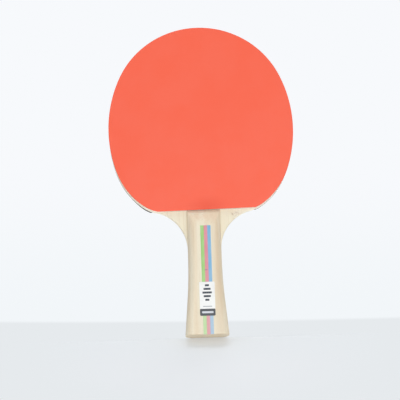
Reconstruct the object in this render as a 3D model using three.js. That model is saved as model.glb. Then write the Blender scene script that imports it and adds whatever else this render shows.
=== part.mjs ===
// Table tennis paddle: a five-ply wooden blade with a full-length tang, a sponge and a rubber
// topsheet on each side of the head, two flared handle shells, and foil stripes and a label on
// the front shell. Millimetres, +Z up the handle towards the head, -Y out of the front face.
// The origin is the middle of the butt, which the paddle stands on.

import * as THREE from 'three';

// Head: the outline is a crown, a side and a lower arc, each tangent to the next.
const HEAD_HALF_WIDTH = 75;
const WIDEST_HEIGHT = 168.25;
const CROWN_RADIUS = 72;
const SIDE_RADIUS = 104;
const LOWER_RADIUS = 57.5;
const SIDE_END_ANGLE = THREE.MathUtils.degToRad(-20.25);

// Neck: a convex shoulder turns the head into a concave fillet that runs down to the handle.
const SHOULDER_RADIUS = 31;
const FILLET_RADIUS = 32.5;
const FILLET_END_HEIGHT = 69.25;

// Handle: straight at the waist, then flared to the butt.
const WAIST_HALF_WIDTH = 13.4;
const FLARE_START_HEIGHT = 61;
const FLARE_END_HEIGHT = 31;
const FLARE_ANGLE = THREE.MathUtils.degToRad(5);
const BUTT_EASE = 0.75;

// Layers, from the middle of the blade outwards.
const CORE_THICKNESS = 3.5;
const VENEER_THICKNESS = 0.625;
const SPONGE_THICKNESS = 1.5;
const TOPSHEET_THICKNESS = 1.75;
const SHELL_THICKNESS = 8.5;
const STRIPE_THICKNESS = 0.125;
const LABEL_THICKNESS = 0.25;

// Playing surfaces: their straight lower edges, the front one cut slightly askew.
const FRONT_CUT = { height: 101.25, slope: Math.tan(THREE.MathUtils.degToRad(1.2)) };
const BACK_CUT = { height: 102.25, slope: 0 };

// Handle shells: rounded sides that meet the flat face at an arris, and a sloping nose.
const SHELL_TOP_HEIGHT = 100.75;
const SHELL_EDGE_RADIUS = 8;
const SHELL_EDGE_ANGLE = THREE.MathUtils.degToRad(68);
const SHELL_LEAST_SIDE = 0.75;
const NOSE_START_HEIGHT = 86;
const NOSE_RADIUS = 14;
const NOSE_ANGLE = THREE.MathUtils.degToRad(38);

// Decoration on the front shell.
const STRIPE_WIDTH = 2.75;
const STRIPE_CENTRE = 0.75;
const STRIPE_TOP = 87.25;
const LABEL_CENTRE = 0.45;
const LABEL_WIDTH = 12.2;
const LABEL_TOP = 41.75;
const LABEL_BAR_TOP = 20.25;
const LABEL_BOTTOM = 14.75;
const BAR_CORNER = 0.9;
const LABEL_CORNER = 0.4;

// How far a chord may leave its arc.
const CHORD_TOLERANCE = 0.06;

const paddle = new THREE.Group();

const MATERIALS = {
  core_wood: { color: 0xe2cfae, roughness: 0.75 },
  inner_veneer: { color: 0xd9bf97, roughness: 0.75 },
  face_veneer: { color: 0xf0e3c8, roughness: 0.55 },
  handle_wood: { color: 0xecdcc0, roughness: 0.55 },
  sponge: { color: 0xf0e6d8, roughness: 0.95 },
  red_rubber: { color: 0xf6705a, roughness: 0.5 },
  black_rubber: { color: 0x1c1c1e, roughness: 0.5 },
  green_foil: { color: 0xa6d183, roughness: 0.4 },
  pink_foil: { color: 0xe2939f, roughness: 0.4 },
  blue_foil: { color: 0x8cb9d6, roughness: 0.4 },
  label_white: { color: 0xf4f8f6, roughness: 0.35 },
  label_dark: { color: 0x43464a, roughness: 0.35 },
};

function material(name) {
  return new THREE.MeshStandardMaterial({ ...MATERIALS[name], metalness: 0 });
}

function addNode(name, geometry, materialName) {
  const mesh = new THREE.Mesh(geometry, material(materialName));
  mesh.name = name;
  paddle.add(mesh);
}

// Points along an arc, close enough together to keep to the chord tolerance.
function arc(centre, radius, from, to) {
  const stepAngle = 2 * Math.acos(1 - CHORD_TOLERANCE / radius);
  const steps = Math.max(2, Math.ceil(Math.abs(to - from) / stepAngle));
  return Array.from({ length: steps + 1 }, (_, i) => {
    const angle = from + (to - from) * (i / steps);
    return new THREE.Vector2(
      centre.x + radius * Math.cos(angle),
      centre.y + radius * Math.sin(angle),
    );
  });
}

// The lower right of the two points at the given distances from two centres.
function pointFromCentres(first, firstDistance, second, secondDistance) {
  const between = second.clone().sub(first);
  const span = between.length();
  const along = (firstDistance ** 2 - secondDistance ** 2 + span ** 2) / (2 * span);
  const across = Math.sqrt(firstDistance ** 2 - along ** 2);
  const unit = between.normalize();
  return new THREE.Vector2(
    first.x + unit.x * along - unit.y * across,
    first.y + unit.y * along + unit.x * across,
  );
}

function direction(from, to) {
  return Math.atan2(to.y - from.y, to.x - from.x);
}

// The head's right edge, from the top of the crown to the end of the lower arc.
const sideCentre = new THREE.Vector2(HEAD_HALF_WIDTH - SIDE_RADIUS, WIDEST_HEIGHT);
const lowerCentre = new THREE.Vector2(
  sideCentre.x + (SIDE_RADIUS - LOWER_RADIUS) * Math.cos(SIDE_END_ANGLE),
  sideCentre.y + (SIDE_RADIUS - LOWER_RADIUS) * Math.sin(SIDE_END_ANGLE),
);
const crownRise = Math.sqrt((SIDE_RADIUS - CROWN_RADIUS) ** 2 - sideCentre.x ** 2);
const crownCentre = new THREE.Vector2(0, WIDEST_HEIGHT + crownRise);

// The neck's two centres.
const filletCentre = new THREE.Vector2(WAIST_HALF_WIDTH + FILLET_RADIUS, FILLET_END_HEIGHT);
const shoulderCentre = pointFromCentres(
  lowerCentre,
  LOWER_RADIUS - SHOULDER_RADIUS,
  filletCentre,
  FILLET_RADIUS + SHOULDER_RADIUS,
);

// The flare is an arc from the waist's straight side to a straight taper.
const flareRadius = (FLARE_START_HEIGHT - FLARE_END_HEIGHT) / Math.sin(FLARE_ANGLE);
const flareCentre = new THREE.Vector2(WAIST_HALF_WIDTH + flareRadius, FLARE_START_HEIGHT);

function handleHalfWidth(height) {
  if (height >= FLARE_START_HEIGHT) {
    return WAIST_HALF_WIDTH;
  }
  const arcHeight = Math.max(height, FLARE_END_HEIGHT);
  const drop = FLARE_START_HEIGHT - arcHeight;
  const arcWidth = flareCentre.x - Math.sqrt(flareRadius ** 2 - drop ** 2);
  return arcWidth + (arcHeight - height) * Math.tan(FLARE_ANGLE);
}

function bladeOutline() {
  const crownEnd = direction(sideCentre, crownCentre);
  const lowerEnd = direction(lowerCentre, shoulderCentre);
  const shoulderEnd = direction(shoulderCentre, filletCentre);
  const right = [
    ...arc(crownCentre, CROWN_RADIUS, Math.PI / 2, crownEnd),
    ...arc(sideCentre, SIDE_RADIUS, crownEnd, SIDE_END_ANGLE).slice(1),
    ...arc(lowerCentre, LOWER_RADIUS, SIDE_END_ANGLE, lowerEnd).slice(1),
    ...arc(shoulderCentre, SHOULDER_RADIUS, lowerEnd, shoulderEnd).slice(1),
    ...arc(filletCentre, FILLET_RADIUS, shoulderEnd + Math.PI, Math.PI).slice(1),
    ...arc(flareCentre, flareRadius, Math.PI, Math.PI + FLARE_ANGLE),
    new THREE.Vector2(handleHalfWidth(BUTT_EASE), BUTT_EASE),
    new THREE.Vector2(handleHalfWidth(0) - BUTT_EASE, 0),
  ];
  const left = right.slice(1).reverse().map((p) => new THREE.Vector2(-p.x, p.y));
  return [...right, ...left];
}

// The part of an outline above a sloping line.
function keepAbove(outline, cut) {
  const rise = (p) => p.y - cut.height - cut.slope * p.x;
  return outline.flatMap((p, i) => {
    const next = outline[(i + 1) % outline.length];
    const kept = rise(p) >= 0 ? [p] : [];
    if (rise(p) * rise(next) < 0) {
      kept.push(p.clone().lerp(next, rise(p) / (rise(p) - rise(next))));
    }
    return kept;
  });
}

// A sheet of the given outline between two values of Y.
function sheet(shape, front, back) {
  const geometry = new THREE.ExtrudeGeometry(shape, {
    depth: back - front,
    bevelEnabled: false,
    curveSegments: 3,
  });
  const stand = new THREE.Matrix4().makeBasis(
    new THREE.Vector3(1, 0, 0),
    new THREE.Vector3(0, 0, 1),
    new THREE.Vector3(0, -1, 0),
  );
  return geometry.applyMatrix4(stand).translate(0, back, 0);
}

// A sheet outside the blade's middle plane: side -1 is the front, +1 the back.
function layer(shape, side, inner, outer) {
  return side < 0 ? sheet(shape, -outer, -inner) : sheet(shape, inner, outer);
}

function roundedRectangle(left, right, bottom, top, corner) {
  const shape = new THREE.Shape();
  shape.moveTo(left + corner, bottom);
  shape.lineTo(right - corner, bottom);
  shape.absarc(right - corner, bottom + corner, corner, -Math.PI / 2, 0);
  shape.lineTo(right, top - corner);
  shape.absarc(right - corner, top - corner, corner, 0, Math.PI / 2);
  shape.lineTo(left + corner, top);
  shape.absarc(left + corner, top - corner, corner, Math.PI / 2, Math.PI);
  shape.lineTo(left, bottom + corner);
  shape.absarc(left + corner, bottom + corner, corner, Math.PI, 1.5 * Math.PI);
  return shape;
}

function rectangle(left, right, bottom, top) {
  return new THREE.Shape([
    new THREE.Vector2(left, bottom),
    new THREE.Vector2(right, bottom),
    new THREE.Vector2(right, top),
    new THREE.Vector2(left, top),
  ]);
}

// How thick a handle shell is at a height: full, then curving into the nose's straight slope.
function shellThickness(height) {
  const rise = Math.max(0, height - NOSE_START_HEIGHT);
  const arcRise = Math.min(rise, NOSE_RADIUS * Math.sin(NOSE_ANGLE));
  const arcDrop = NOSE_RADIUS - Math.sqrt(NOSE_RADIUS ** 2 - arcRise ** 2);
  return SHELL_THICKNESS - arcDrop - (rise - arcRise) * Math.tan(NOSE_ANGLE);
}

// A shell's section at a height, moved in by an inset: flat against the blade, and on each side
// an arc that leaves the side square and meets the outer face at the arris.
function shellRing(height, side, inset) {
  const halfWidth = handleHalfWidth(height);
  const thickness = shellThickness(height);
  const arcRise = Math.sin(SHELL_EDGE_ANGLE);
  const radius = Math.min(SHELL_EDGE_RADIUS, (thickness - SHELL_LEAST_SIDE) / arcRise);
  const arcStart = thickness - radius * arcRise;
  const arcEnd = Math.asin((radius * arcRise - inset) / (radius - inset));
  const bladeFace = CORE_THICKNESS / 2 + 2 * VENEER_THICKNESS;
  const steps = 7;
  const corner = Array.from({ length: steps + 1 }, (_, i) => {
    const angle = arcEnd * (i / steps);
    return [
      halfWidth - radius + (radius - inset) * Math.cos(angle),
      arcStart + (radius - inset) * Math.sin(angle),
    ];
  });
  const right = [[halfWidth - inset, 0], ...corner];
  const left = right.map(([x, depth]) => [-x, depth]).reverse();
  const ring = [...right, ...left].map(
    ([x, depth]) => new THREE.Vector3(x, side * (bladeFace + depth), height),
  );
  return side < 0 ? ring.reverse() : ring;
}

// A closed skin through rings of equally many points, capped flat at both ends.
function loft(rings) {
  const count = rings[0].length;
  const last = (rings.length - 1) * count;
  const index = [];
  for (let ring = 0; ring < rings.length - 1; ring += 1) {
    for (let i = 0; i < count; i += 1) {
      const here = ring * count + i;
      const beside = ring * count + (i + 1) % count;
      index.push(here, beside, beside + count);
      index.push(here, beside + count, here + count);
    }
  }
  for (let i = 1; i < count - 1; i += 1) {
    index.push(0, i + 1, i);
    index.push(last, last + i, last + i + 1);
  }
  const geometry = new THREE.BufferGeometry();
  geometry.setFromPoints(rings.flat());
  geometry.setIndex(index);
  geometry.computeVertexNormals();
  return geometry;
}

function evenly(from, to, steps) {
  return Array.from({ length: steps + 1 }, (_, i) => from + (to - from) * (i / steps));
}

function handleShell(side) {
  const noseArcEnd = NOSE_START_HEIGHT + NOSE_RADIUS * Math.sin(NOSE_ANGLE);
  const heights = [
    BUTT_EASE,
    ...evenly(FLARE_END_HEIGHT, FLARE_START_HEIGHT, 3),
    ...evenly(NOSE_START_HEIGHT, noseArcEnd, 4),
    ...evenly(noseArcEnd, SHELL_TOP_HEIGHT, 2).slice(1),
  ];
  return loft([
    shellRing(0, side, BUTT_EASE),
    ...heights.map((height) => shellRing(height, side, 0)),
  ]);
}

const outline = bladeOutline();
const bladeShape = new THREE.Shape(outline);
const coreFace = CORE_THICKNESS / 2;
const bladeFace = coreFace + 2 * VENEER_THICKNESS;
const spongeFace = bladeFace + SPONGE_THICKNESS;
const rubberFace = spongeFace + TOPSHEET_THICKNESS;

// The blade: a thick core between two crossed inner veneers and two face veneers.
addNode('core_ply', sheet(bladeShape, -coreFace, coreFace), 'core_wood');

for (const [side, place, rubber, cut] of [
  [-1, 'front', 'red_rubber', FRONT_CUT],
  [1, 'back', 'black_rubber', BACK_CUT],
]) {
  const veneerFace = coreFace + VENEER_THICKNESS;
  const sheetShape = new THREE.Shape(keepAbove(outline, cut));
  addNode(`inner_veneer_${place}`, layer(bladeShape, side, coreFace, veneerFace), 'inner_veneer');
  addNode(`face_veneer_${place}`, layer(bladeShape, side, veneerFace, bladeFace), 'face_veneer');
  addNode(`sponge_${place}`, layer(sheetShape, side, bladeFace, spongeFace), 'sponge');
  addNode(`topsheet_${place}`, layer(sheetShape, side, spongeFace, rubberFace), rubber);
  addNode(`handle_shell_${place}`, handleShell(side), 'handle_wood');
}

// Foil stripes above and below the label, on the flat of the front shell.
const shellFace = bladeFace + SHELL_THICKNESS;
const stripesLeft = STRIPE_CENTRE - 1.5 * STRIPE_WIDTH;
['green', 'pink', 'blue'].forEach((colour, i) => {
  const left = stripesLeft + i * STRIPE_WIDTH;
  const spans = { upper: [LABEL_TOP, STRIPE_TOP], lower: [BUTT_EASE, LABEL_BOTTOM] };
  for (const [place, [bottom, top]] of Object.entries(spans)) {
    const stripe = rectangle(left, left + STRIPE_WIDTH, bottom, top);
    const geometry = layer(stripe, -1, shellFace, shellFace + STRIPE_THICKNESS);
    addNode(`stripe_${colour}_${place}`, geometry, `${colour}_foil`);
  }
});

// The label is a white field over a dark bar.
const labelLeft = LABEL_CENTRE - LABEL_WIDTH / 2;
const labelRight = LABEL_CENTRE + LABEL_WIDTH / 2;
const field = roundedRectangle(labelLeft, labelRight, LABEL_BAR_TOP, LABEL_TOP, LABEL_CORNER);
const bar = roundedRectangle(labelLeft, labelRight, LABEL_BOTTOM, LABEL_BAR_TOP, BAR_CORNER);
addNode('label_field', layer(field, -1, shellFace, shellFace + LABEL_THICKNESS), 'label_white');
addNode('label_bar', layer(bar, -1, shellFace, shellFace + LABEL_THICKNESS), 'label_dark');

export default paddle;
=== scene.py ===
# Looks for a table tennis paddle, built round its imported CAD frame: a five-ply blade, a sponge and
# a pimples-in rubber on each side, two handle halves, foil stripes and a label. Metres, +Z up the
# handle towards the head, -Y out of the red face.
import math
import random

import bmesh
import bpy
import numpy as np
from mathutils import Matrix, Vector


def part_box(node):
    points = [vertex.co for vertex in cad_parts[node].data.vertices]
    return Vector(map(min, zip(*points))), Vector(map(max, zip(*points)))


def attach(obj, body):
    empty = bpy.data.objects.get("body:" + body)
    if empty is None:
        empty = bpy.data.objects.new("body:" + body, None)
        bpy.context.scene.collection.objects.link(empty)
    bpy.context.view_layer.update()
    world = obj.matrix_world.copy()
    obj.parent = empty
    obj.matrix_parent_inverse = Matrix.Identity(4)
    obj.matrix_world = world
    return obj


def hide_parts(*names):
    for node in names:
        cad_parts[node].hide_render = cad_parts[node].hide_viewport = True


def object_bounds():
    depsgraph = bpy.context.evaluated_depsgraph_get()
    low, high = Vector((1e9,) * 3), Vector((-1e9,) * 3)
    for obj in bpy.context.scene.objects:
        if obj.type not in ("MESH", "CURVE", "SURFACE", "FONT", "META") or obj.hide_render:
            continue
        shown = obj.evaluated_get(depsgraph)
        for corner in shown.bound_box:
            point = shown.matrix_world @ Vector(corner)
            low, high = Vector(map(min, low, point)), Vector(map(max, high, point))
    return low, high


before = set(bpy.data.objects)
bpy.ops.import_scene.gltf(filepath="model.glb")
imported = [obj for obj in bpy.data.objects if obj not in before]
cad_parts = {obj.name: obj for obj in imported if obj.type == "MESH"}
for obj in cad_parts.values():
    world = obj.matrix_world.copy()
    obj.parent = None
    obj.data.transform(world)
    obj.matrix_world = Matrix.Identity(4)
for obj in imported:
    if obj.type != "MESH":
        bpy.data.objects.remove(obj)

MM = 0.001
cad_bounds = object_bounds()
dice = random.Random(7)

# Camera: a long lens, a little below the butt and looking up at the red face.
CAMERA_PLACE = Vector((-44.1, -1200.0, -133.8)) * MM
CAMERA_PITCH = math.radians(11.49)
CAMERA_YAW = math.radians(-1.99)
CAMERA_ROLL = math.radians(1.87)
CAMERA_LENS = 136.45

# How outlines are followed: the length of a step, the turn from which a point is a corner, how many
# times its neighbour's length a straight side has, and the steps in arcs.
RIM_STEP = 1.2 * MM
CORNER_ANGLE = math.radians(14)
STRAIGHT_RATIO = 1.7
BUTT_ARC_STEPS = 8
EASE_STEPS = 5
SHELL_SIDE_STEPS = 10
BOX_CORNER_STEPS = 6

# Tolerances: for heights that are the same, for points that are one, and for a face that looks
# forwards. Edges with more than the last angle between their faces are shaded sharp.
TOUCH = 1e-5
SAME_POINT = 1e-7
FACES_FORWARD = -0.9
SHARP_ANGLE = math.radians(38)

# The blade's plies: a hairline seam between them, and a throat sanded round.
PLY_EASE = 0.06 * MM
THROAT_EASE = 0.7 * MM
THROAT_REACH = 4 * MM
THROAT_BOTTOM = (66 * MM, 72 * MM)
THROAT_TOP = (96 * MM, 102 * MM)

# Rubber: a skin over short pimples, which stand on the sponge. Pimples are made in a band along the
# rim. The back rubber is cut a little proud beside the blade's lower left corner.
RUBBER_EASE = 0.3 * MM
SKIN_THICKNESS = 0.75 * MM
SKIN_CORE_SCALE = 0.9
PIMPLE_PITCH = 1.9 * MM
PIMPLE_RADIUS = 0.52 * MM
PIMPLE_FOOT_RADIUS = 0.68 * MM
PIMPLE_FOOT_SHARE = 0.25
PIMPLE_SIDES = 10
PIMPLE_BAND = (0.75 * MM, 6.5 * MM)
SPONGE_ROUGHNESS = 0.05 * MM
PROUD = 0.45 * MM
PROUD_REACH = (4 * MM, 20 * MM)
CORNER_SLANT = 0.2

# Handle halves: their sides, their eased edges, and the nose that ends under the rubber.
WAIST_HEIGHT = 65 * MM
SHELL_EDGE_RADIUS = 8 * MM
SHELL_EDGE_ANGLE = math.radians(68)
SHELL_LEAST_SIDE = 0.4 * MM
BUTT_EASE = 0.75 * MM
ARRIS_EASE = 0.15 * MM
NOSE_EASE = 0.25 * MM
SEAM_EASE = 0.07 * MM
NOSE_REACH = 4 * MM
NOSE_GAP = 0.12 * MM

# Foil: thin strips, feathered at their long edges, that wrap part of the way round the butt's ease.
FOIL_THICKNESS = 0.05 * MM
FOIL_FEATHER = 0.12 * MM
FOIL_END_ANGLE = math.radians(35)

# Label: five bars that form a diamond and a rule on the white sheet, and a bar on the dark band.
PAPER_THICKNESS = 0.16 * MM
INK_THICKNESS = 0.03 * MM
PRINT_EASE = 0.45
LABEL_CORNER = 0.4 * MM
BAND_CORNER = 0.9 * MM
DIAMOND_WIDTHS = (3.2 * MM, 5.6 * MM, 7.4 * MM, 5.6 * MM, 3.2 * MM)
DIAMOND_HEIGHT = 1.6 * MM
DIAMOND_PITCH = 2.9 * MM
DIAMOND_CORNER = 0.3 * MM
DIAMOND_PLACE = 0.6
RULE_SIZE = (7.2 * MM, 0.7 * MM)
RULE_CORNER = 0.2 * MM
RULE_HEIGHT = 1.9 * MM
BAND_BAR_SIZE = (9.2 * MM, 1.6 * MM)
BAND_BAR_CORNER = 0.79 * MM


# ------------------------------------------------------------------ outlines

def turn_between(before, after):
    """The angle between two directions in a plane."""
    return abs(math.atan2(before.x * after.y - before.y * after.x, before.dot(after)))


def smooth_step(low, high, value):
    """0 up to low, 1 from high on, and a smooth rise between them."""
    t = min(1.0, max(0.0, (value - low) / (high - low)))
    return t * t * (3 - 2 * t)


def rim(node):
    """The outline of a CAD sheet: its points (x, z) in order round the front face."""
    sheet = bmesh.new()
    sheet.from_mesh(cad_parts[node].data)
    bmesh.ops.remove_doubles(sheet, verts=sheet.verts, dist=SAME_POINT)
    sheet.normal_update()
    front = {face for face in sheet.faces if face.normal.y < FACES_FORWARD}
    following = {}
    for face in front:
        for loop in face.loops:
            if sum(other in front for other in loop.edge.link_faces) == 1:
                following[loop.vert] = loop.link_loop_next.vert
    start = min(following, key=lambda vert: vert.index)
    order = [start]
    while following[order[-1]] != start:
        order.append(following[order[-1]])
    points = [Vector((vert.co.x, vert.co.z)) for vert in order]
    sheet.free()
    return points


def rounded_butt(points):
    """The blade's outline with the cut corners at its butt turned into arcs."""
    result = []
    for i, point in enumerate(points):
        after = points[(i + 1) % len(points)]
        result.append(point)
        low, high = sorted((point.y, after.y))
        if low < TOUCH and abs(high - BUTT_EASE) < TOUCH:
            inner = min(abs(point.x), abs(after.x))
            outer = max(abs(point.x), abs(after.x))
            arc = [math.pi / 2 * k / BUTT_ARC_STEPS for k in range(1, BUTT_ARC_STEPS)]
            if point.y < after.y:
                arc.reverse()
            for angle in arc:
                x = inner + (outer - inner) * math.cos(angle)
                z = BUTT_EASE * (1 - math.sin(angle))
                result.append(Vector((math.copysign(x, point.x), z)))
    return result


def tangents(points):
    """The directions into and out of each point, which are equal where the outline is smooth."""
    result = []
    for i, point in enumerate(points):
        before = point - points[i - 1]
        after = points[(i + 1) % len(points)] - point
        if turn_between(before, after) > CORNER_ANGLE:
            result.append((before.normalized(), after.normalized()))
            continue
        if before.length > STRAIGHT_RATIO * after.length:
            along = before
        elif after.length > STRAIGHT_RATIO * before.length:
            along = after
        else:
            along = before.normalized() * after.length + after.normalized() * before.length
        result.append((along.normalized(), along.normalized()))
    return result


def smooth_outline(points, step=RIM_STEP):
    """A closed outline, with short steps along a smooth curve that keeps to the CAD box's width."""
    directions = tangents(points)
    result = []
    for i, start in enumerate(points):
        j = (i + 1) % len(points)
        end = points[j]
        span = (end - start).length
        leave = directions[i][1] * span
        arrive = directions[j][0] * span
        count = max(1, math.ceil(span / step))
        for k in range(count):
            t = k / count
            result.append(
                start * (2 * t**3 - 3 * t**2 + 1)
                + leave * (t**3 - 2 * t**2 + t)
                + end * (3 * t**2 - 2 * t**3)
                + arrive * (t**3 - t**2)
            )
    limit = cad_bounds[1][0]
    return [Vector((min(limit, max(-limit, p.x)), p.y)) for p in result]


def inward_normals(points):
    """For each point the way inwards, as long as it takes to move both its sides by one unit."""
    doubled_area = sum(points[i - 1].x * p.y - points[i - 1].y * p.x for i, p in enumerate(points))
    turn = math.copysign(1, doubled_area)
    result = []
    for i, point in enumerate(points):
        before = (point - points[i - 1]).normalized()
        after = (points[(i + 1) % len(points)] - point).normalized()
        first = Vector((-before.y, before.x)) * turn
        second = Vector((-after.y, after.x)) * turn
        result.append((first + second) / (1 + first.dot(second)))
    return result


def edge_distances(points, outline):
    """How far each of some points inside an outline is from its nearest edge, and -1 outside."""
    spots = np.array([tuple(p) for p in points])
    start = np.array([tuple(p) for p in outline])
    end = np.roll(start, -1, axis=0)
    side = end - start
    best = np.full(len(spots), np.inf)
    inside = np.zeros(len(spots), bool)
    for a, b, along in zip(start, end, side):
        t = np.clip(((spots - a) @ along) / (along @ along), 0, 1)
        best = np.minimum(best, np.linalg.norm(spots - a - t[:, None] * along, axis=1))
        if a[1] != b[1]:
            crosses = (a[1] > spots[:, 1]) != (b[1] > spots[:, 1])
            where = a[0] + (spots[:, 1] - a[1]) / along[1] * along[0]
            inside ^= crosses & (spots[:, 0] < where)
    return np.where(inside, best, -1.0)


# ------------------------------------------------------------------ meshes

def finish_mesh(name, verts, faces):
    """A mesh with its faces turned outwards, shaded smooth apart from caps and sharp edges."""
    mesh = bpy.data.meshes.new(name)
    mesh.from_pydata(verts, [], faces)
    solid = bmesh.new()
    solid.from_mesh(mesh)
    bmesh.ops.recalc_face_normals(solid, faces=solid.faces)
    for face in solid.faces:
        face.smooth = len(face.verts) <= 4
    solid.to_mesh(mesh)
    solid.free()
    mesh.set_sharp_from_angle(angle=SHARP_ANGLE)
    return mesh


def ring_mesh(name, rings):
    """A closed skin through rings of equally many points, with a flat cap at each end."""
    count = len(rings[0])
    verts = [point for ring in rings for point in ring]
    faces = []
    for start in range(0, (len(rings) - 1) * count, count):
        for i in range(count):
            j = (i + 1) % count
            faces.append((start + i, start + j, start + count + j, start + count + i))
    faces.append(tuple(range(count)))
    faces.append(tuple(range(len(verts) - count, len(verts))))
    return finish_mesh(name, verts, faces)


def rounding(distance, radius):
    """How far a rounded edge has come in, at a distance from the face that it ends in."""
    lift = max(0.0, 1 - distance / radius)
    return radius * (1 - math.sqrt(1 - lift * lift))


def eased_depths(front, back, ease, steps, between=1):
    """Values of Y through a sheet, close together at its two rounded edges."""
    quarter = [math.pi / 2 * i / steps for i in range(steps + 1)]
    first = [front + ease * (1 - math.cos(angle)) for angle in quarter]
    last = [back - ease * (1 - math.cos(angle)) for angle in reversed(quarter)]
    gap = (last[0] - first[-1]) / between
    middle = [first[-1] + gap * i for i in range(1, between)]
    return first + middle + last


def plate_mesh(name, outline, depths, inset):
    """A sheet of an outline (x, z), moved inwards by inset(y, point) at each of its depths."""
    inward = inward_normals(outline)
    rings = []
    for y in depths:
        moved = [p + normal * inset(y, p) for p, normal in zip(outline, inward)]
        rings.append([(p.x, y, p.y) for p in moved])
    return ring_mesh(name, rings)


def edge_inset(front, back, ease):
    """The inset of a sheet whose two edges are rounded alike."""
    return lambda y, _point: rounding(min(y - front, back - y), ease)


def add_piece(name, mesh, material, slot, *stands_for):
    """A finished mesh as a named piece on the paddle's one body."""
    mesh.materials.append(material)
    piece = bpy.data.objects.new(name, mesh)
    bpy.context.scene.collection.objects.link(piece)
    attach(piece, "root")
    if stands_for:
        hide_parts(*stands_for)


# ------------------------------------------------------------------ materials

def colour(red, green, blue):
    """A linear colour from display values of 0 to 255."""
    def linear(value):
        share = value / 255
        return share / 12.92 if share <= 0.04045 else ((share + 0.055) / 1.055) ** 2.4
    return (linear(red), linear(green), linear(blue), 1.0)


# Wood, with its darker end grain at the foot, its painted shade down the handle's right side and its
# scuff.
WOOD_ROUGHNESS = 0.55
END_GRAIN_REACH = (0.15 * MM, 0.6 * MM)
END_GRAIN_STRENGTH = 0.24
SIDE_SHADE_STRENGTH = 0.32
SCUFF_BROWN = colour(176, 152, 124)
SCRATCH_SIZE = (2.4 * MM, 2.4 * MM, 0.5 * MM)

# A darker patch on the rubber just above the handle, painted shade from the handle's raised top:
# how far it is right of the middle and above the rubber's lower edge, and its reach. Then the
# foil's nick, and how much of the foil's ink has worn off at the butt.
SHADE_PATCH_SIDE = 3.5 * MM
SHADE_PATCH_RISE = 2.5 * MM
SHADE_PATCH_REACH = (23 * MM, 30 * MM, 12 * MM)
NICK_GREY = colour(150, 122, 140)
NICK_STRENGTH = 0.9
FOIL_FADE_TOP = 60 * MM
FOIL_FADE = 0.5

# The two colour inputs and the colour output of a Mix node.
MIX_FIRST = 6
MIX_SECOND = 7
MIX_RESULT = 2


def plug(links, socket, value):
    """Links an output to an input, or sets the input to a constant."""
    if isinstance(value, bpy.types.NodeSocket):
        links.new(value, socket)
    else:
        socket.default_value = value


def smooth_range(nodes, links, value, low, high, out_low=0.0, out_high=1.0):
    """The value as a smooth step from out_low at low to out_high at high."""
    node = nodes.new("ShaderNodeMapRange")
    node.interpolation_type = "SMOOTHSTEP"
    plug(links, node.inputs["Value"], value)
    node.inputs["From Min"].default_value = low
    node.inputs["From Max"].default_value = high
    node.inputs["To Min"].default_value = out_low
    node.inputs["To Max"].default_value = out_high
    return node.outputs["Result"]


def mixed_colour(nodes, links, factor, first, second):
    """The first colour where the factor is 0 and the second where it is 1."""
    node = nodes.new("ShaderNodeMix")
    node.data_type = "RGBA"
    plug(links, node.inputs["Factor"], factor)
    plug(links, node.inputs[MIX_FIRST], first)
    plug(links, node.inputs[MIX_SECOND], second)
    return node.outputs[MIX_RESULT]


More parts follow.
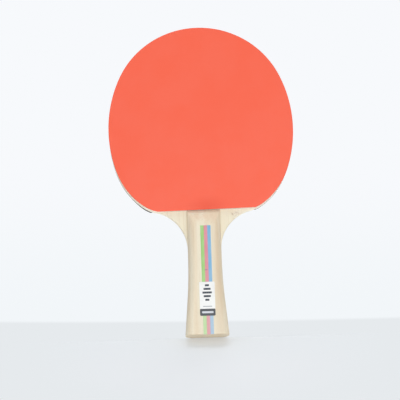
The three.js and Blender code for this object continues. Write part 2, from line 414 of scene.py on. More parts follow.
class Recipe:
    """One procedural material while its nodes are wired. Sizes are in metres."""

    def __init__(self, name, **constants):
        self.material = bpy.data.materials.new(name)
        self.material.use_nodes = True
        self.nodes = self.material.node_tree.nodes
        self.links = self.material.node_tree.links
        self.shader = self.nodes["Principled BSDF"]
        for socket, value in constants.items():
            self.shader.inputs[socket.replace("_", " ")].default_value = value
        self.place = self.nodes.new("ShaderNodeTexCoord").outputs["Object"]

    def put(self, socket, value):
        plug(self.links, socket, value)

    def vector(self, operation, first, second=None):
        """A vector node with its inputs set. Its outputs are read by name."""
        node = self.nodes.new("ShaderNodeVectorMath")
        node.operation = operation
        self.put(node.inputs[0], first)
        if second is not None:
            node.inputs[1].default_value = second
        return node.outputs

    def calc(self, operation, first, second=0.0):
        """A maths operation on one value or two."""
        node = self.nodes.new("ShaderNodeMath")
        node.operation = operation
        self.put(node.inputs[0], first)
        self.put(node.inputs[1], second)
        return node.outputs[0]

    def scaled(self, size):
        """The place on the object, in units of a size for each axis."""
        node = self.nodes.new("ShaderNodeMapping")
        self.put(node.inputs["Vector"], self.place)
        node.inputs["Scale"].default_value = [1 / s for s in size]
        return node.outputs["Vector"]

    def noise(self, size, **looks):
        """Soft random values around 0.5, with blotches of a size for each axis."""
        return self.noise_at(self.scaled(size), **looks)

    def noise_at(self, vector, detail=2.0, roughness=0.5, distortion=0.0):
        """The same soft values, read at a place that is already scaled."""
        node = self.nodes.new("ShaderNodeTexNoise")
        self.put(node.inputs["Vector"], vector)
        node.inputs["Scale"].default_value = 1.0
        node.inputs["Detail"].default_value = detail
        node.inputs["Roughness"].default_value = roughness
        node.inputs["Distortion"].default_value = distortion
        return node.outputs["Fac"]

    def cells(self, size):
        """How far a place is from the middle of its foam cell."""
        node = self.nodes.new("ShaderNodeTexVoronoi")
        self.put(node.inputs["Vector"], self.scaled(all_round(size)))
        node.inputs["Scale"].default_value = 1.0
        return node.outputs["Distance"]

    def axis(self, name):
        """The place along one axis."""
        node = self.nodes.new("ShaderNodeSeparateXYZ")
        self.put(node.inputs[0], self.place)
        return node.outputs[name]

    def between(self, value, low, high, out_low=0.0, out_high=1.0):
        return smooth_range(self.nodes, self.links, value, low, high, out_low, out_high)

    def mix(self, factor, first, second):
        return mixed_colour(self.nodes, self.links, factor, first, second)

    def patch(self, centre, reach):
        """1 at a place, fading to 0 at a reach along each axis."""
        shifted = self.vector("SUBTRACT", self.place, centre)["Vector"]
        scaled = self.vector("DIVIDE", shifted, reach)["Vector"]
        distance = self.vector("LENGTH", scaled)["Value"]
        return self.between(distance, 0.0, 1.0, 1.0, 0.0)

    def bump(self, height, distance, under=None):
        """A surface normal for a relief of a depth, on top of another relief."""
        node = self.nodes.new("ShaderNodeBump")
        node.inputs["Strength"].default_value = 1.0
        node.inputs["Distance"].default_value = distance
        self.put(node.inputs["Height"], height)
        if under is not None:
            self.put(node.inputs["Normal"], under)
        return node.outputs["Normal"]

    def done(self, **sockets):
        """Plugs the shader's sockets and gives the finished material."""
        for name, value in sockets.items():
            self.put(self.shader.inputs[name.replace("_", " ")], value)
        return self.material


def all_round(size):
    """The same size for each axis."""
    return (size, size, size)


def grained(axis, across_size, along_size):
    """A size for each axis, long on the grain's axis."""
    return [along_size if name == axis else across_size for name in "XYZ"]


def scuff_cover(r, centre, reach, turn):
    """A small scuff: broken short scratches that run along a line turned in the face's plane."""
    spot = r.patch(centre, reach)
    mapping = r.nodes.new("ShaderNodeMapping")
    r.put(mapping.inputs["Vector"], r.place)
    mapping.inputs["Rotation"].default_value = (0, turn, 0)
    stretched = r.vector("DIVIDE", mapping.outputs["Vector"], SCRATCH_SIZE)["Vector"]
    marks = r.between(r.noise_at(stretched), 0.48, 0.6)
    return r.calc("MULTIPLY", marks, spot)


def wood(name, pale, warm, dark, grain="Z", scuff=None, side_shade_patch=None):
    """Pale, straight-grained wood: broad bands, thin streaks, fibres and short dark pores.

    It is darker at the foot, where the grain ends, and may have a patch of painted shade and a
    scuff.
    """
    r = Recipe(name, Roughness=WOOD_ROUGHNESS)
    broad = r.noise(grained(grain, 7 * MM, 160 * MM))
    streak = r.noise(grained(grain, 0.8 * MM, 60 * MM), detail=3, distortion=0.3)
    fibre = r.noise(grained(grain, 0.16 * MM, 9 * MM))
    pore = r.noise(grained(grain, 0.2 * MM, 2.4 * MM), detail=1)
    pores = r.between(pore, 0.66, 0.76)
    tone = r.mix(r.between(broad, 0.35, 0.65), pale, warm)
    tone = r.mix(r.between(streak, 0.5, 0.8, 0.0, 0.32), tone, dark)
    tone = r.mix(r.between(fibre, 0.35, 0.75, 0.0, 0.12), tone, dark)
    tone = r.mix(r.calc("MULTIPLY", pores, 0.4), tone, dark)
    end_grain = r.between(r.axis("Z"), *END_GRAIN_REACH, END_GRAIN_STRENGTH, 0.0)
    tone = r.mix(end_grain, tone, dark)
    # Painted shade: a darker streak down the handle's right rounded side.
    if side_shade_patch is not None:
        side_shade_share = r.calc("MULTIPLY", r.patch(*side_shade_patch), SIDE_SHADE_STRENGTH)
        tone = r.mix(side_shade_share, tone, dark)
    if scuff is not None:
        tone = r.mix(scuff_cover(r, *scuff), tone, SCUFF_BROWN)
    gloss = r.between(streak, 0.3, 0.7, WOOD_ROUGHNESS + 0.05, WOOD_ROUGHNESS - 0.06)
    relief = r.bump(fibre, 0.02 * MM)
    relief = r.bump(r.calc("MULTIPLY", pores, -1.0), 0.05 * MM, relief)
    return r.done(Base_Color=tone, Roughness=gloss, Normal=relief)


def pimple_pattern(r):
    """Peaks over the pimples, from three waves across their rows."""
    total = 0.0
    wave = 2 * math.pi / PIMPLE_PITCH
    for x, z in ((1, -1 / math.sqrt(3)), (0, 2 / math.sqrt(3)), (1, 1 / math.sqrt(3))):
        phase = r.vector("DOT_PRODUCT", r.place, (wave * x, 0, wave * z))["Value"]
        total = r.calc("ADD", r.calc("COSINE", phase), total)
    return total


def rubber(name, base, rubbed, dust, handle_top_shade_tone, roughness):
    """Smooth topsheet rubber: faint clouds, painted shade just above the handle, dust and a soft
    print of the pimples.
    """
    r = Recipe(name, Roughness=roughness)
    cloud = r.noise(all_round(26 * MM), detail=3)
    mottle = r.noise(all_round(2.6 * MM), detail=4, roughness=0.65)
    specks = r.between(r.noise(all_round(0.35 * MM), detail=1), 0.74, 0.8)
    grain = r.noise(all_round(0.12 * MM), detail=1)
    # Painted shade: the rubber is darker just above the handle's raised top.
    handle_top_shade = r.patch((SHADE_PATCH_SIDE, 0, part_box("topsheet_front")[0].z + SHADE_PATCH_RISE), SHADE_PATCH_REACH)
    tone = r.mix(r.between(cloud, 0.35, 0.65), base, rubbed)
    tone = r.mix(handle_top_shade, tone, handle_top_shade_tone)
    tone = r.mix(r.calc("MULTIPLY", specks, 0.18), tone, dust)
    gloss = r.between(mottle, 0.3, 0.7, roughness - 0.05, roughness + 0.06)
    relief = r.bump(cloud, 0.25 * MM)
    relief = r.bump(pimple_pattern(r), 0.0025 * MM, relief)
    relief = r.bump(grain, 0.004 * MM, relief)
    return r.done(Base_Color=tone, Roughness=gloss, Normal=relief)


def sponge_foam():
    """Fine open foam, cut at its edge."""
    r = Recipe("sponge_foam", Roughness=0.95)
    cells = r.cells(0.32 * MM)
    blotch = r.noise(all_round(3 * MM))
    open_cells = r.between(cells, 0.15, 0.6)
    tone = r.mix(r.between(blotch, 0.3, 0.7), colour(250, 244, 234), colour(243, 234, 222))
    tone = r.mix(open_cells, colour(222, 206, 190), tone)
    relief = r.bump(open_cells, 0.1 * MM)
    return r.done(Base_Color=tone, Normal=relief)


def foil(name, bright, worn, nick):
    """Coloured foil on wood: the grain shows through, it fades to the butt, and it has a nick."""
    r = Recipe(name, Roughness=0.42)
    fibre = r.noise(grained("Z", 0.16 * MM, 9 * MM))
    flakes = r.noise(grained("Z", 0.25 * MM, 1.6 * MM), detail=3)
    cloud = r.noise(grained("Z", 2.2 * MM, 9 * MM))
    fading = r.between(r.axis("Z"), 0.0, FOIL_FADE_TOP, FOIL_FADE, 0.0)
    tone = r.mix(r.between(cloud, 0.35, 0.7, 0.0, 0.16), bright, worn)
    tone = r.mix(fading, tone, worn)
    tone = r.mix(r.between(flakes, 0.68, 0.74, 0.0, 0.55), tone, worn)
    tone = r.mix(r.calc("MULTIPLY", r.patch(*nick), NICK_STRENGTH), tone, NICK_GREY)
    relief = r.bump(fibre, 0.012 * MM)
    return r.done(Base_Color=tone, Normal=relief)


def label_paper():
    """Coated white paper, a little warmer and rougher where it is handled."""
    r = Recipe("label_paper", Roughness=0.38)
    mottle = r.noise(all_round(1.1 * MM), detail=3)
    handled = r.noise(all_round(7 * MM))
    tone = r.mix(r.between(handled, 0.4, 0.75), colour(244, 243, 239), colour(238, 236, 231))
    tone = r.mix(r.between(mottle, 0.55, 0.8, 0.0, 0.2), tone, colour(226, 226, 220))
    gloss = r.between(mottle, 0.3, 0.7, 0.34, 0.44)
    relief = r.bump(mottle, 0.006 * MM)
    return r.done(Base_Color=tone, Roughness=gloss, Normal=relief)


def ink(name, solid, thin):
    """Printed ink with an uneven cover."""
    r = Recipe(name, Roughness=0.45)
    cover = r.noise(all_round(0.3 * MM), detail=3)
    tone = r.mix(r.between(cover, 0.5, 0.8), solid, thin)
    relief = r.bump(cover, 0.004 * MM)
    return r.done(Base_Color=tone, Normal=relief)


BLADE_PALE = colour(245, 237, 214)
BLADE_WARM = colour(243, 233, 206)
BLADE_DARK = colour(206, 180, 138)
HANDLE_PALE = colour(240, 229, 204)
HANDLE_WARM = colour(234, 216, 186)
HANDLE_DARK = colour(204, 174, 138)

core_wood = wood("core_wood", colour(247, 239, 219), colour(242, 229, 203), colour(214, 190, 152))
cross_wood = wood(
    "cross_wood", colour(242, 228, 200), colour(236, 217, 184), colour(208, 180, 142), grain="X"
)

# On the wood: a scuff on the right wing, which is wear, and painted shade down the handle's right
# side beside the foil. Each has its centre and its reach along the three axes; the scuff's strokes
# are turned too.
wing_scuff = (
    (25.4 * MM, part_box("face_veneer_front")[0].y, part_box("topsheet_front")[0].z - 3.0 * MM),
    (5.4 * MM, 1 * MM, 2.6 * MM),
    math.radians(-30),
)
handle_side_shade = (
    (9.5 * MM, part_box("handle_shell_front")[0].y, 38 * MM),
    (6 * MM, 9 * MM, 80 * MM),
)
face_wood = wood("face_wood", BLADE_PALE, BLADE_WARM, BLADE_DARK, scuff=wing_scuff)
handle_wood = wood("handle_wood", HANDLE_PALE, HANDLE_WARM, HANDLE_DARK, side_shade_patch=handle_side_shade)

foam = sponge_foam()
red_rubber = rubber(
    "red_rubber",
    base=colour(252, 98, 66),
    rubbed=colour(252, 101, 71),
    dust=colour(250, 172, 152),
    handle_top_shade_tone=colour(242, 85, 52),
    roughness=0.5,
)
black_rubber = rubber(
    "black_rubber",
    base=colour(30, 30, 32),
    rubbed=colour(38, 38, 41),
    dust=colour(140, 138, 134),
    handle_top_shade_tone=colour(26, 26, 28),
    roughness=0.46,
)
paper = label_paper()
slate_ink = ink("slate_ink", colour(64, 70, 78), colour(92, 98, 104))
grey_ink = ink("grey_ink", colour(176, 178, 180), colour(204, 205, 205))
pale_ink = ink("pale_ink", colour(214, 216, 220), colour(196, 198, 204))
band_ink = ink("band_ink", colour(78, 80, 84), colour(100, 102, 106))


# ------------------------------------------------------------------ blade

blade_outline = smooth_outline(rounded_butt(rim("core_ply")))
blade_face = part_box("face_veneer_back")[1].y


def waist_half_width():
    """Half the handle's width where its sides run straight."""
    right = [(abs(p.y - WAIST_HEIGHT), p.x) for p in blade_outline if p.x > 0]
    return min(right)[1]


neck_half_width = waist_half_width()


def throat_inset(y, point):
    """How far the sanded throat has come in: most at the blade's faces, beside the handle."""
    reach = smooth_step(0, THROAT_REACH, abs(point.x) - neck_half_width)
    height = smooth_step(*THROAT_BOTTOM, point.y) * (1 - smooth_step(*THROAT_TOP, point.y))
    return rounding(blade_face - abs(y), THROAT_EASE) * reach * height


def add_ply(name, node, material, slot):
    low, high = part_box(node)
    seam = edge_inset(low.y, high.y, PLY_EASE)
    depths = eased_depths(low.y, high.y, PLY_EASE, steps=3, between=5)
    mesh = plate_mesh(
        name, blade_outline, depths, lambda y, p: max(seam(y, p), throat_inset(y, p))
    )
    add_piece(name, mesh, material, slot, node)


add_ply("blade_core", "core_ply", core_wood, "core_wood")
for place in ("front", "back"):
    add_ply(f"blade_cross_{place}", f"inner_veneer_{place}", cross_wood, "inner_veneer")
    add_ply(f"blade_face_{place}", f"face_veneer_{place}", face_wood, "face_veneer")


# ------------------------------------------------------------------ rubber

def add_sponge(place):
    """A sponge sheet with a slightly ragged cut edge."""
    node = f"sponge_{place}"
    low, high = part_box(node)
    seam = edge_inset(low.y, high.y, PLY_EASE)
    depths = eased_depths(low.y, high.y, PLY_EASE, steps=2, between=4)
    outline = smooth_outline(rim(node), RIM_STEP / 2)
    mesh = plate_mesh(
        f"sponge_sheet_{place}",
        outline,
        depths,
        lambda y, p: seam(y, p) + dice.uniform(0, SPONGE_ROUGHNESS),
    )
    add_piece(f"sponge_sheet_{place}", mesh, foam, "sponge", node)


def proud_corner(outline):
    """The back rubber's outline, cut a little proud of the blade beside its lower left corner."""
    corner = min((p for p in outline if p.x < 0), key=lambda p: p.y + CORNER_SLANT * p.x)
    inward = inward_normals(outline)
    result = []
    for point, normal in zip(outline, inward):
        near = 1 - smooth_step(*PROUD_REACH, (point - corner).length)
        below = point.y < corner.y + TOUCH and point.x > corner.x
        result.append(point if below else point - normal * PROUD * near)
    return result


def topsheet_depths(node):
    """A topsheet's inner face, the underside of its skin and its outer face, from the middle."""
    low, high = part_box(node)
    inner, outer = sorted((abs(low.y), abs(high.y)))
    return inner, outer - SKIN_THICKNESS, outer


def add_skin(place, side, outline, material, slot):
    """The topsheet's skin with a rounded rim. Its middle is solid down to the sponge."""
    node = f"topsheet_{place}"
    inner, under, outer = topsheet_depths(node)
    inward = inward_normals(outline)
    rings = []
    for i in range(EASE_STEPS + 1):
        angle = math.pi / 2 * i / EASE_STEPS
        depth = outer - RUBBER_EASE * (1 - math.cos(angle))
        inset = RUBBER_EASE * (1 - math.sin(angle))
        ring = [p + normal * inset for p, normal in zip(outline, inward)]
        rings.append([(p.x, side * depth, p.y) for p in ring])
    rings.append([(p.x, side * under, p.y) for p in outline])
    middle = sum(outline, Vector((0, 0))) / len(outline)
    core = [middle + (p - middle) * SKIN_CORE_SCALE for p in outline]
    rings.append([(p.x, side * under, p.y) for p in core])
    rings.append([(p.x, side * inner, p.y) for p in core])
    add_piece(f"rubber_skin_{place}", ring_mesh(node, rings), material, slot, node)


def pimple_places(outline):
    """The spots of the pimples' hexagonal rows that lie in a band along the outline."""
    row_gap = PIMPLE_PITCH * math.sqrt(3) / 2
    reach = max(p.y for p in outline)
    width = max(p.x for p in outline)
    spots = []
    for row in range(int(reach / row_gap) + 1):
        shift = PIMPLE_PITCH / 2 if row % 2 else 0
        columns = int(width / PIMPLE_PITCH) + 1
        for column in range(-columns, columns + 1):
            spots.append(Vector((column * PIMPLE_PITCH + shift, row * row_gap)))
    distances = edge_distances(spots, outline)
    low, high = PIMPLE_BAND
    return [spot for spot, distance in zip(spots, distances) if low < distance < high]


def add_pimples(place, side, outline, material, slot):
    """Short rubber columns between the skin and the sponge, along the rim."""
    inner, under, _outer = topsheet_depths(f"topsheet_{place}")
    flare = under - PIMPLE_FOOT_SHARE * (under - inner)
    levels = ((under, PIMPLE_FOOT_RADIUS), (flare, PIMPLE_RADIUS), (inner, PIMPLE_RADIUS))
    verts = []
    faces = []
    for spot in pimple_places(outline):
        first = len(verts)
        for depth, radius in levels:
            for i in range(PIMPLE_SIDES):
                angle = 2 * math.pi * i / PIMPLE_SIDES
                x = spot.x + radius * math.cos(angle)
                z = spot.y + radius * math.sin(angle)
                verts.append((x, side * depth, z))
        for level in range(len(levels) - 1):
            start = first + level * PIMPLE_SIDES
            for i in range(PIMPLE_SIDES):
                j = (i + 1) % PIMPLE_SIDES
                corner = start + PIMPLE_SIDES
                faces.append((start + i, start + j, corner + j, corner + i))
        faces.append(tuple(range(first, first + PIMPLE_SIDES)))
        faces.append(tuple(range(len(verts) - PIMPLE_SIDES, len(verts))))
    name = f"rubber_pimples_{place}"
    add_piece(name, finish_mesh(name, verts, faces), material, slot)


for place, side, material, slot in (
    ("front", -1, red_rubber, "red_rubber"),
    ("back", 1, black_rubber, "black_rubber"),
):
    add_sponge(place)
    rubber_outline = smooth_outline(rim(f"topsheet_{place}"))
    if place == "back":
        rubber_outline = proud_corner(rubber_outline)
    add_skin(place, side, rubber_outline, material, slot)
    add_pimples(place, side, rubber_outline, material, slot)


# ------------------------------------------------------------------ handle

def shell_face(node):
    """The outer face of a handle half seen from the side: (depth, height), from butt to nose."""
    depths = {}
    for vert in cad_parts[node].data.vertices:
        height = round(vert.co.z, 6)
        depths[height] = max(depths.get(height, 0), abs(vert.co.y))
    face = [Vector((depths[height], height)) for height in sorted(depths)]
    closed = [Vector((blade_face, face[0].y)), *face, Vector((blade_face, face[-1].y))]
    top = face[-1].y
    smooth = smooth_outline(closed)
    first = min(i for i, p in enumerate(smooth) if abs(p.y - BUTT_EASE) < TOUCH)
    last = min(i for i, p in enumerate(smooth) if abs(p.y - top) < TOUCH)
    return smooth[first : last + 1]


handle_sides = sorted(
    (p.y, p.x) for p in blade_outline if p.x > 0 and BUTT_EASE - TOUCH < p.y < WAIST_HEIGHT
)


def handle_half_width(height):
    """Half the handle's width at a height, up to its waist."""
    heights, widths = zip(*handle_sides)
    return float(np.interp(height, heights, widths))


def shell_section(side, height, depth, inset):
    """A handle half's section: flat on the blade, with round sides that end at an eased arris."""
    half_width = handle_half_width(height)
    thickness = depth - blade_face
    rise = math.sin(SHELL_EDGE_ANGLE)
    radius = min(SHELL_EDGE_RADIUS, (thickness - SHELL_LEAST_SIDE) / rise)
    centre = Vector((half_width - radius, thickness - radius * rise))
    arris_angle = math.asin((radius * rise - inset) / (radius - inset))
    right = [(half_width - inset - SEAM_EASE, 0), (half_width - inset, SEAM_EASE)]
    for i in range(SHELL_SIDE_STEPS):
        angle = arris_angle * i / SHELL_SIDE_STEPS
        x = centre.x + (radius - inset) * math.cos(angle)
        right.append((x, centre.y + (radius - inset) * math.sin(angle)))
    arris = centre.x + (radius - inset) * math.cos(arris_angle)
    top = thickness - inset
    right.append((arris + ARRIS_EASE * rise, top - ARRIS_EASE * math.cos(SHELL_EDGE_ANGLE)))
    right.append((arris - ARRIS_EASE, top))
    right.append((arris - 3 * ARRIS_EASE, top))
    left = [(-x, out) for x, out in reversed(right)]
    return [(x, side * (blade_face + out), height) for x, out in right + left]


def longest_side(points):
    """The ends of an outline's longest straight side, from left to right."""
    sides = zip(points, points[1:] + points[:1])
    return sorted(max(sides, key=lambda ends: (ends[1] - ends[0]).length), key=lambda p: p.x)


cut_left, cut_right = longest_side(rim("topsheet_front"))


def raised_nose(point, top):
    """A point of the front half, lifted so that the nose ends just under the rubber's slant."""
    x, y, z = point
    slant = (cut_right.y - cut_left.y) / (cut_right.x - cut_left.x)
    rubber_edge = cut_left.y + (x - cut_left.x) * slant
    share = smooth_step(top - NOSE_REACH, top, z)
    return (x, y, z + share * (rubber_edge - NOSE_GAP - top))


def add_shell(place, side):
    """A handle half, with its edge rounded at the butt and at the end of its nose."""
    node = f"handle_shell_{place}"
    face = shell_face(node)
    top = face[-1].y
    sections = []
    for i in range(EASE_STEPS):
        angle = math.pi / 2 * i / EASE_STEPS
        height = BUTT_EASE * (1 - math.cos(angle))
        inset = BUTT_EASE * (1 - math.sin(angle))
        section = shell_section(side, BUTT_EASE, face[0].x, inset)
        sections.append([(x, y, height) for x, y, _ in section])
    for point in face:
        if point.y < top - NOSE_EASE:
            sections.append(shell_section(side, point.y, point.x, 0))
    for i in range(EASE_STEPS + 1):
        angle = math.pi / 2 * i / EASE_STEPS
        height = top - NOSE_EASE * (1 - math.sin(angle))
        depth = float(np.interp(height, [p.y for p in face], [p.x for p in face]))
        inset = NOSE_EASE * (1 - math.cos(angle))
        sections.append(shell_section(side, height, depth, inset))
    if place == "front":
        sections = [[raised_nose(point, top) for point in section] for section in sections]
    mesh = ring_mesh(f"handle_half_{place}", sections)
    add_piece(f"handle_half_{place}", mesh, handle_wood, "handle_wood", node)


add_shell("front", -1)
add_shell("back", 1)


# ------------------------------------------------------------------ foil and label

front_face = shell_face("handle_shell_front")


def foil_path(bottom, top):
    """Where foil lies on the front half, seen from the side, as (depth, height)."""
    path = [p for p in front_face if bottom + TOUCH < p.y < top - TOUCH]
    end = float(np.interp(top, [p.y for p in front_face], [p.x for p in front_face]))
    path.append(Vector((end, top)))
    if bottom > BUTT_EASE + TOUCH:
        return [Vector((front_face[0].x, bottom)), *path]
    wrap = []
    for i in range(EASE_STEPS + 1):
        angle = FOIL_END_ANGLE + (math.pi / 2 - FOIL_END_ANGLE) * i / EASE_STEPS
        depth = front_face[0].x - BUTT_EASE * (1 - math.sin(angle))
        wrap.append(Vector((depth, BUTT_EASE * (1 - math.cos(angle)))))
    return wrap + path


def add_foil(name, node, material, slot):
    """A thin strip along the front half, its long edges feathered."""
    low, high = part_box(node)
    path = foil_path(low.z, high.z)
    rings = []
    for i, point in enumerate(path):
        slope = path[min(i + 1, len(path) - 1)] - path[max(i - 1, 0)]
        outward = Vector((slope.y, -slope.x)).normalized() * FOIL_THICKNESS
        lifted = point + outward
        ring = [
            (low.x, -point.x, point.y),
            (low.x + FOIL_FEATHER, -lifted.x, lifted.y),
            (high.x - FOIL_FEATHER, -lifted.x, lifted.y),
            (high.x, -point.x, point.y),
        ]
        rings.append(ring)
    add_piece(name, ring_mesh(name, rings), material, slot, node)


FOILS = {
    "green": (colour(158, 205, 118), colour(220, 232, 196)),
    "pink": (colour(224, 138, 152), colour(232, 186, 184)),
    "blue": (colour(124, 178, 214), colour(206, 214, 218)),
}
pink_low, pink_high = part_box("stripe_pink_upper")
foil_nick = (
    ((pink_high.x + 2 * pink_low.x) / 3, pink_low.y, pink_low.z + 9.6 * MM),
    (2.2 * MM, 2 * MM, 0.7 * MM),
)
for tint, (bright, worn) in FOILS.items():
    material = foil(f"{tint}_foil", bright, worn, foil_nick)
    for place in ("upper", "lower"):
        add_foil(f"foil_{tint}_{place}", f"stripe_{tint}_{place}", material, f"{tint}_foil")


def rounded_box(left, right, bottom, top, corner):
    """A rectangle (x, z) with rounded corners."""
    points = []
    corners = (
        (right - corner, bottom + corner, -90),
        (right - corner, top - corner, 0),
        (left + corner, top - corner, 90),
        (left + corner, bottom + corner, 180),
    )
    for x, z, start in corners:
        for i in range(BOX_CORNER_STEPS + 1):
            angle = math.radians(start + 90 * i / BOX_CORNER_STEPS)
            points.append(Vector((x + corner * math.cos(angle), z + corner * math.sin(angle))))
    return points


def centred_box(x, z, width, height, corner):
    """A rounded rectangle (x, z) round its centre."""
    return rounded_box(x - width / 2, x + width / 2, z - height / 2, z + height / 2, corner)


def add_print(name, outline, back, thickness, material, slot, *stands_for):
    """A thin flat layer on the front half, its edge rounded over."""
    front = back - thickness
    ease = thickness * PRINT_EASE
    depths = eased_depths(front, back, ease, steps=3)
    mesh = plate_mesh(name, outline, depths, edge_inset(front, back, ease))
    add_piece(name, mesh, material, slot, *stands_for)


def add_label():
    """A white field with a plain barred diamond and a rule, over a dark band with a pale bar."""
    low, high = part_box("label_field")
    band_low, band_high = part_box("label_bar")
    field = rounded_box(low.x, high.x, low.z, high.z, LABEL_CORNER)
    band = rounded_box(band_low.x, band_high.x, band_low.z, band_high.z, BAND_CORNER)
    add_print("label_sheet", field, high.y, PAPER_THICKNESS, paper, "label_white", "label_field")
    add_print("label_band", band, high.y, PAPER_THICKNESS, band_ink, "label_dark", "label_bar")
    surface = high.y - PAPER_THICKNESS
    x = (low.x + high.x) / 2
    diamond_z = low.z + DIAMOND_PLACE * (high.z - low.z)
    for i, width in enumerate(DIAMOND_WIDTHS):
        z = diamond_z + (i - len(DIAMOND_WIDTHS) // 2) * DIAMOND_PITCH
        outline = centred_box(x, z, width, DIAMOND_HEIGHT, DIAMOND_CORNER)
        name = f"label_diamond_{i + 1}"
        add_print(name, outline, surface, INK_THICKNESS, slate_ink, "label_dark")
    rule = centred_box(x, low.z + RULE_HEIGHT, *RULE_SIZE, RULE_CORNER)
    add_print("label_rule", rule, surface, INK_THICKNESS, grey_ink, "label_dark")
    bar = centred_box(x, (band_low.z + band_high.z) / 2, *BAND_BAR_SIZE, BAND_BAR_CORNER)
    add_print("label_band_bar", bar, surface, INK_THICKNESS, pale_ink, "label_white")


add_label()


# ------------------------------------------------------------------ stage

FLOOR_TONE = colour(230, 234, 237)
BACKDROP_TONE = colour(247, 249, 252)
# The wall's foot is a little darker: painted shade.
WALL_FOOT_TONE = colour(242, 246, 249)
FELT_TONE = colour(240, 245, 252)
FELT_STRENGTH = 0.5

# The room is tilted a little. The horizon and the wall's fade are in degrees above level.
ROOM_TILT = math.radians(1.2)
HORIZON = (6.88, 7.02)
WALL_FADE = (6.9, 13.0)

# The floor is lit near the butt, where it also glows a little by itself, painted light that
# lightens its shadow, and it has one even tone further off. The leaning floor ends just
# under the rear edge of the butt.
LIT_TONE = colour(197, 199, 200)
LIT_GLOW = 0.35
LIT_REACH = (0.04, 0.16)
LEVEL_FLOOR_Z = -0.2 * MM
LEVEL_FLOOR_REACH = 4.0
LEAN = math.radians(28)
LEANING_FLOOR_REACH = 0.34
LEANING_FLOOR_HALF_WIDTH = 0.8
TIP_CLEARANCE = 0.02 * MM
LIGHTS_AIM = Vector((0, 0, 0.13))


def direction_height(nodes, links):
    """The sine of the height above the room's level that the world is seen at."""
    coordinates = nodes.new("ShaderNodeTexCoord")
    height = nodes.new("ShaderNodeVectorMath")
    height.operation = "DOT_PRODUCT"
    links.new(coordinates.outputs["Generated"], height.inputs[0])
    height.inputs[1].default_value = (math.sin(ROOM_TILT), 0, math.cos(ROOM_TILT))
    return height.outputs["Value"]


def world_step(nodes, links, height, limits, first, second):
    """A colour that goes from first to second between two heights, given in degrees."""
    low, high = (math.sin(math.radians(limit)) for limit in limits)
    step = smooth_range(nodes, links, height, low, high)
    return mixed_colour(nodes, links, step, first, second)


def mixed_shader(nodes, links, factor, first, second):
    """The first shader where the factor is 0 and the second where it is 1."""
    node = nodes.new("ShaderNodeMixShader")
    for socket, output in zip(node.inputs, (factor, first, second)):
        links.new(output, socket)
    return node.outputs[0]


def floor_material(name):
    """Plain pale floor, seen only from above: lit near the butt with a little painted glow, and of
    one tone further off.
    """
    material = bpy.data.materials.new(name)
    material.use_nodes = True
    nodes = material.node_tree.nodes
    links = material.node_tree.links
    lit = nodes["Principled BSDF"]
    lit.inputs["Base Color"].default_value = LIT_TONE
    lit.inputs["Roughness"].default_value = 0.9
    # Painted light: the floor glows a little by itself near the butt too, so its shadow is lighter.
    lit.inputs["Emission Color"].default_value = FLOOR_TONE
    lit.inputs["Emission Strength"].default_value = LIT_GLOW
    far = nodes.new("ShaderNodeEmission")
    far.inputs["Color"].default_value = FLOOR_TONE
    geometry = nodes.new("ShaderNodeNewGeometry")
    distance = nodes.new("ShaderNodeVectorMath")
    distance.operation = "LENGTH"
    links.new(geometry.outputs["Position"], distance.inputs[0])
    fade = smooth_range(nodes, links, distance.outputs["Value"], *LIT_REACH)
    top = mixed_shader(nodes, links, fade, lit.outputs[0], far.outputs[0])
    clear = nodes.new("ShaderNodeBsdfTransparent")
    both = mixed_shader(nodes, links, geometry.outputs["Backfacing"], top, clear.outputs[0])
    links.new(both, nodes["Material Output"].inputs["Surface"])
    return material


def add_floor(name, corners):
    mesh = bpy.data.meshes.new(name)
    mesh.from_pydata(corners, [], [tuple(range(len(corners)))])
    mesh.materials.append(floor_material(name))
    floor = bpy.data.objects.new(name, mesh)
    bpy.context.scene.collection.objects.link(floor)
    return floor


def add_level_floor():
    """The level floor under the butt, seen from above."""
    reach = LEVEL_FLOOR_REACH
    z = LEVEL_FLOOR_Z
    corners = [(-reach, -reach, z), (reach, -reach, z), (reach, reach, z), (-reach, reach, z)]
    floor = add_floor("level_floor", corners)
    for ray in ("visible_diffuse", "visible_glossy", "visible_transmission", "visible_shadow"):
        setattr(floor, ray, False)


def add_leaning_floor():
    """The floor for the main camera: the paddle leans back on the rear edge of its butt.

    Its back edge stays under the level floor, apart from a tongue under the butt.
    """
    width = LEANING_FLOOR_HALF_WIDTH
    tongue = handle_half_width(BUTT_EASE)
    tip_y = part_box("handle_shell_back")[1].y
    touch_z = BUTT_EASE * (1 - math.cos(LEAN) + (1 - math.sin(LEAN)) * math.tan(LEAN))
    tip_z = touch_z - TIP_CLEARANCE
    edge_z = 2 * LEVEL_FLOOR_Z
    edge_y = tip_y - (tip_z - edge_z) / math.tan(LEAN)
    front_y = tip_y - LEANING_FLOOR_REACH * math.cos(LEAN)
    front_z = tip_z - LEANING_FLOOR_REACH * math.sin(LEAN)
    right = [
        (width, front_y, front_z),
        (width, edge_y, edge_z),
        (tongue, edge_y, edge_z),
        (tongue, tip_y, tip_z),
    ]
    left = [(-x, y, z) for x, y, z in reversed(right)]
    add_floor("leaning_floor", right + left)


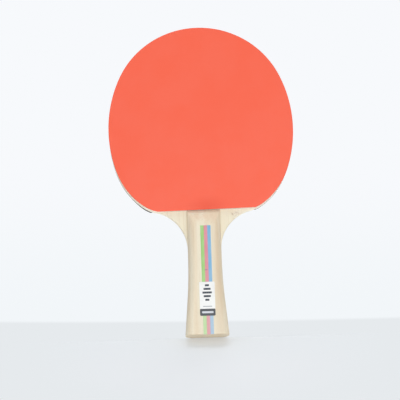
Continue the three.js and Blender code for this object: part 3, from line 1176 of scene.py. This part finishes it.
def add_light(name, azimuth, elevation, distance, size, power, tint=(1, 1, 1)):
    """A square soft light aimed at the middle of the paddle, and itself unseen."""
    a = math.radians(azimuth)
    e = math.radians(elevation)
    back = Vector((math.sin(a) * math.cos(e), -math.cos(a) * math.cos(e), math.sin(e)))
    lamp = bpy.data.lights.new(name, "AREA")
    lamp.shape = "SQUARE"
    lamp.size = size
    lamp.energy = power
    lamp.color = tint
    light = bpy.data.objects.new(name, lamp)
    light.location = LIGHTS_AIM + back * distance
    light.rotation_mode = "QUATERNION"
    light.rotation_quaternion = (-back).to_track_quat("-Z", "Y")
    light.visible_camera = False
    bpy.context.scene.collection.objects.link(light)


def add_world():
    """A pale wall with painted shade at its foot, over the floor's tone. It lights less than it
    shows.
    """
    world = bpy.data.worlds.new("pale_studio")
    world.use_nodes = True
    nodes = world.node_tree.nodes
    links = world.node_tree.links
    height = direction_height(nodes, links)
    wall = world_step(nodes, links, height, WALL_FADE, WALL_FOOT_TONE, BACKDROP_TONE)
    shade = world_step(nodes, links, height, HORIZON, FLOOR_TONE, wall)
    seen = nodes["Background"]
    seen.inputs["Strength"].default_value = 1.0
    links.new(shade, seen.inputs["Color"])
    felt = nodes.new("ShaderNodeBackground")
    felt.inputs["Color"].default_value = FELT_TONE
    felt.inputs["Strength"].default_value = FELT_STRENGTH
    seen_by_camera = nodes.new("ShaderNodeLightPath").outputs["Is Camera Ray"]
    both = mixed_shader(nodes, links, seen_by_camera, felt.outputs[0], seen.outputs[0])
    links.new(both, nodes["World Output"].inputs["Surface"])
    bpy.context.scene.world = world


def add_camera():
    lens = bpy.data.cameras.new("camera")
    lens.lens = CAMERA_LENS
    camera = bpy.data.objects.new("camera", lens)
    turn = (
        Matrix.Rotation(CAMERA_YAW, 4, "Z")
        @ Matrix.Rotation(CAMERA_PITCH, 4, "X")
        @ Matrix.Rotation(CAMERA_ROLL, 4, "Y")
        @ Matrix.Rotation(math.pi / 2, 4, "X")
    )
    camera.matrix_world = Matrix.Translation(CAMERA_PLACE) @ turn
    bpy.context.scene.collection.objects.link(camera)
    bpy.context.scene.camera = camera


add_camera()
add_world()
add_level_floor()
add_leaning_floor()
add_light("key", azimuth=14, elevation=-12, distance=2.0, size=1.8, power=18.5)
add_light("fill", azimuth=-42, elevation=12, distance=1.8, size=1.4, power=4, tint=(0.94, 0.97, 1))
add_light("overhead", azimuth=0, elevation=75, distance=1.8, size=1.6, power=12)
add_light("rear", azimuth=160, elevation=28, distance=1.8, size=1.4, power=14)
add_light("bounce", azimuth=185, elevation=-58, distance=1.8, size=1.4, power=17)
bpy.context.scene.view_settings.view_transform = "Standard"
